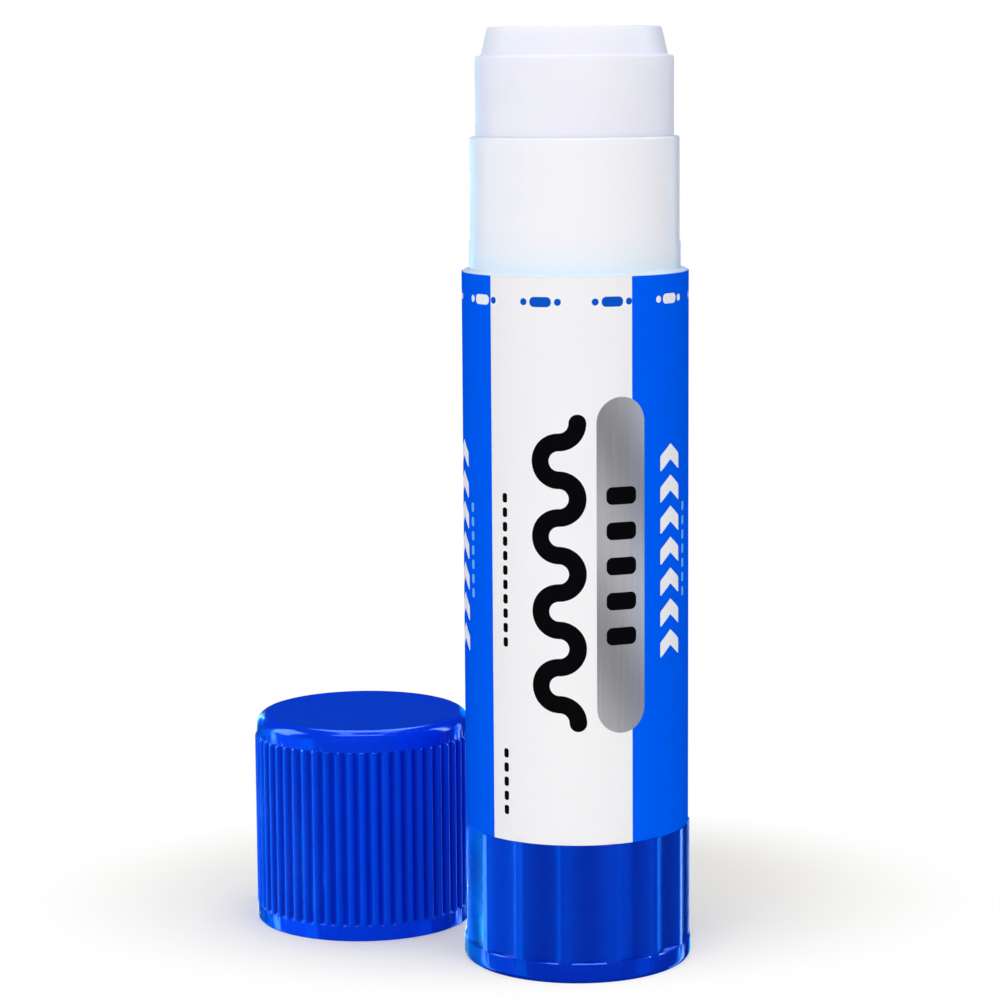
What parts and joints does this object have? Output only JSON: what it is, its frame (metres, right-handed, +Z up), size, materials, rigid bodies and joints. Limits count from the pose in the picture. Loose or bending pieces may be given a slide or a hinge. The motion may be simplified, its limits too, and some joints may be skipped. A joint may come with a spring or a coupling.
{
  "type": "glue stick",
  "caption": "Jumbo twist-up glue stick: white barrel with a printed label, fluted blue knob, spindle, carrier and glue, and a ribbed blue cap beside it.",
  "frame": {"origin": "centre of the knob's flat underside, on the surface the stick stands on", "axes": "+Z up along the stick from the knob to the glue; -Y is the side with the white panel of the label; the cap stands towards -X and +Y"},
  "size_m": [0.0604, 0.0515, 0.1247],
  "materials": {
    "white_plastic": "moulded, satin gloss, slightly translucent white polypropylene",
    "printed_film": "glossy film label, blue with a white panel and silver and black print",
    "blue_plastic": "moulded glossy royal blue polypropylene",
    "natural_plastic": "moulded natural polyethylene, matte",
    "glue": "smooth waxy white glue with a faint lilac tint",
    "seal_plastic": "thin moulded polyethylene, matte"
  },
  "bodies": {
    "body": {"barrel": "white_plastic", "wrap_label": "printed_film"},
    "drive": {"twist_knob": "blue_plastic", "screw_spindle": "natural_plastic"},
    "carriage": {"carrier_cup": "natural_plastic", "glue_core": "glue"},
    "cap": {"cap_shell": "blue_plastic", "tip_seal": "seal_plastic"}
  },
  "joints": [
    {"name": "knob_turn", "type": "hinge", "parent": "body", "child": "drive", "pos_m": [0, 0, 0], "axis": [0, 0, -1], "range_deg": [-630.1, 3258.1]},
    {"name": "glue_advance", "type": "slide", "parent": "body", "child": "carriage", "axis": [0, 0, 1], "range_m": [-0.0105, 0.0543]},
    {"name": "cap_lift", "type": "slide", "parent": "body", "child": "cap", "axis": [0, 0, 1], "range_m": [0, 0.12]}
  ],
  "couplings": [
    {"joint": "knob_turn", "follows": "glue_advance", "rad_per_m": 1047.2}
  ]
}
